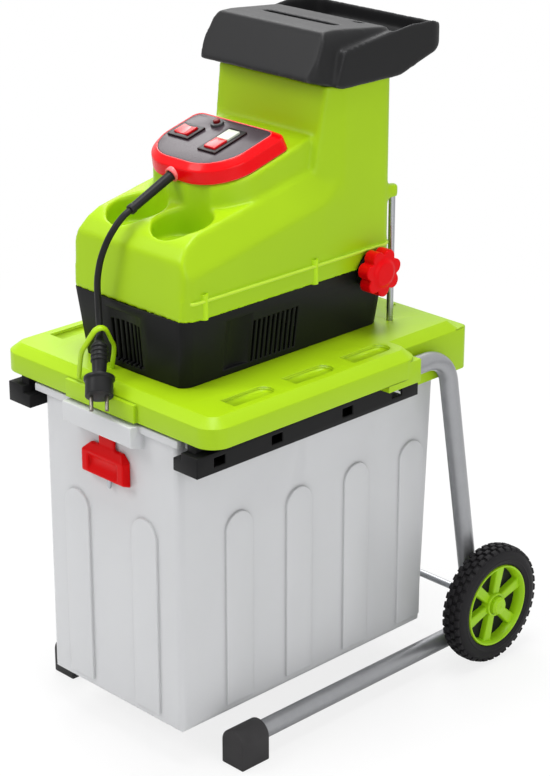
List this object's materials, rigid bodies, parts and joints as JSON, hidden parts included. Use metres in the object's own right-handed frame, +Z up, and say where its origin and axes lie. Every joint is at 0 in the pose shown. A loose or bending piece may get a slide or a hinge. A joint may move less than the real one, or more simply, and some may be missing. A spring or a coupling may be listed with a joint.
{
  "type": "garden shredder",
  "caption": "Garden shredder: lime and black motor housing with feed hopper on a wheeled tube frame, above a sliding translucent collection box",
  "frame": {"origin": "middle of the footprint, on the floor", "axes": "+X towards the adjuster knob's side, -Y towards the control panel, +Z up"},
  "size_m": [0.4556, 0.6432, 0.906],
  "materials": {
    "lime_plastic": "satin moulded plastic",
    "black_plastic": "fine textured plastic",
    "dark_grey_plastic": "fine textured plastic",
    "red_plastic": "glossy plastic",
    "green_plastic": "glossy plastic",
    "box_plastic": "milky moulded plastic",
    "tube_steel": "silver paint",
    "tyre": "matt rubber",
    "steel": "turned",
    "cast_steel": "hardened",
    "aluminium": "die cast",
    "copper": "wound wire",
    "cord_rubber": "matt",
    "pin_metal": "plated"
  },
  "bodies": {
    "chassis": {"platform": "lime_plastic", "guide_rail_right": "black_plastic", "guide_rail_left": "black_plastic", "side_tube_right": "tube_steel", "side_tube_left": "tube_steel", "foot_right": "black_plastic", "foot_left": "black_plastic", "axle": "steel", "axle_caps": "lime_plastic", "interlock_switch": "black_plastic", "lower_housing": "black_plastic", "upper_housing": "lime_plastic", "housing_screws": "steel", "tie_rods": "steel", "cable_hook": "lime_plastic", "feed_hopper": "dark_grey_plastic", "feed_chute": "dark_grey_plastic", "control_bezel": "red_plastic", "control_plate": "black_plastic", "rocker_frame": "black_plastic", "button_frame": "black_plastic", "reset_collar": "dark_grey_plastic", "motor_case": "steel", "motor_stator": "copper", "gearbox": "aluminium", "cutting_frame": "cast_steel", "bearing_front": "steel", "bearing_rear": "steel", "adjuster_boss": "black_plastic", "cord_sleeve": "cord_rubber", "power_cord": "cord_rubber", "plug": "cord_rubber", "plug_pins": "pin_metal"},
    "wheel_right": {"tyre_right": "tyre", "hub_right": "lime_plastic"},
    "wheel_left": {"tyre_left": "tyre", "hub_left": "lime_plastic"},
    "box": {"collection_box": "box_plastic"},
    "latch": {"box_latch": "red_plastic"},
    "start": {"start_button": "green_plastic"},
    "stop": {"stop_button": "red_plastic"},
    "reset": {"reset_button": "red_plastic"},
    "rocker": {"direction_rocker": "red_plastic"},
    "adjuster": {"adjuster_screw": "steel", "adjuster_knob": "red_plastic"},
    "counter": {"counter_plate": "cast_steel"},
    "roller": {"cutting_roller": "cast_steel", "roller_gear": "steel"},
    "middle": {"middle_gear": "steel"},
    "rotor": {"motor_rotor": "steel", "cooling_fan": "black_plastic"}
  },
  "joints": [
    {"name": "wheel_right_turn", "type": "hinge", "parent": "chassis", "child": "wheel_right", "pos_m": [0.2063, 0.221, 0.085], "axis": [1, 0, 0], "continuous": true},
    {"name": "wheel_left_turn", "type": "hinge", "parent": "chassis", "child": "wheel_left", "pos_m": [-0.2063, 0.221, 0.085], "axis": [1, 0, 0], "continuous": true},
    {"name": "box_slide", "type": "slide", "parent": "chassis", "child": "box", "axis": [0, -1, 0], "range_m": [0, 0.45]},
    {"name": "latch_slide", "type": "slide", "parent": "box", "child": "latch", "axis": [0, 0, 1], "range_m": [0, 0.018]},
    {"name": "start_press", "type": "slide", "parent": "chassis", "child": "start", "axis": [0, 0.2689, -0.9632], "range_m": [0, 0.003], "stiffness_N_per_m": 300},
    {"name": "stop_press", "type": "slide", "parent": "chassis", "child": "stop", "axis": [0, 0.2689, -0.9632], "range_m": [0, 0.003], "stiffness_N_per_m": 300},
    {"name": "reset_press", "type": "slide", "parent": "chassis", "child": "reset", "axis": [0, 0.2689, -0.9632], "range_m": [0, 0.003], "stiffness_N_per_m": 300},
    {"name": "rocker_tilt", "type": "hinge", "parent": "chassis", "child": "rocker", "pos_m": [-0.044, -0.10723, 0.77337], "axis": [0, 0.9632, 0.2689], "range_deg": [-12, 12]},
    {"name": "adjuster_turn", "type": "hinge", "parent": "chassis", "child": "adjuster", "pos_m": [0.12, 0.073, 0.585], "axis": [1, 0, 0], "range_deg": [-360, 720]},
    {"name": "counter_slide", "type": "slide", "parent": "chassis", "child": "counter", "axis": [1, 0, 0], "range_m": [-0.002, 0.004]},
    {"name": "roller_turn", "type": "hinge", "parent": "chassis", "child": "roller", "pos_m": [-0.02, 0.057, 0.585], "axis": [0, 1, 0], "continuous": true},
    {"name": "middle_turn", "type": "hinge", "parent": "chassis", "child": "middle", "pos_m": [-0.0425, -0.018, 0.62397], "axis": [0, 1, 0], "continuous": true},
    {"name": "rotor_turn", "type": "hinge", "parent": "chassis", "child": "rotor", "pos_m": [-0.00172, -0.1, 0.60495], "axis": [0, 1, 0], "continuous": true}
  ],
  "couplings": [
    {"joint": "adjuster_turn", "follows": "counter_slide", "rad_per_m": 3141.6},
    {"joint": "middle_turn", "follows": "roller_turn", "ratio": -4},
    {"joint": "rotor_turn", "follows": "roller_turn", "ratio": 16}
  ]
}
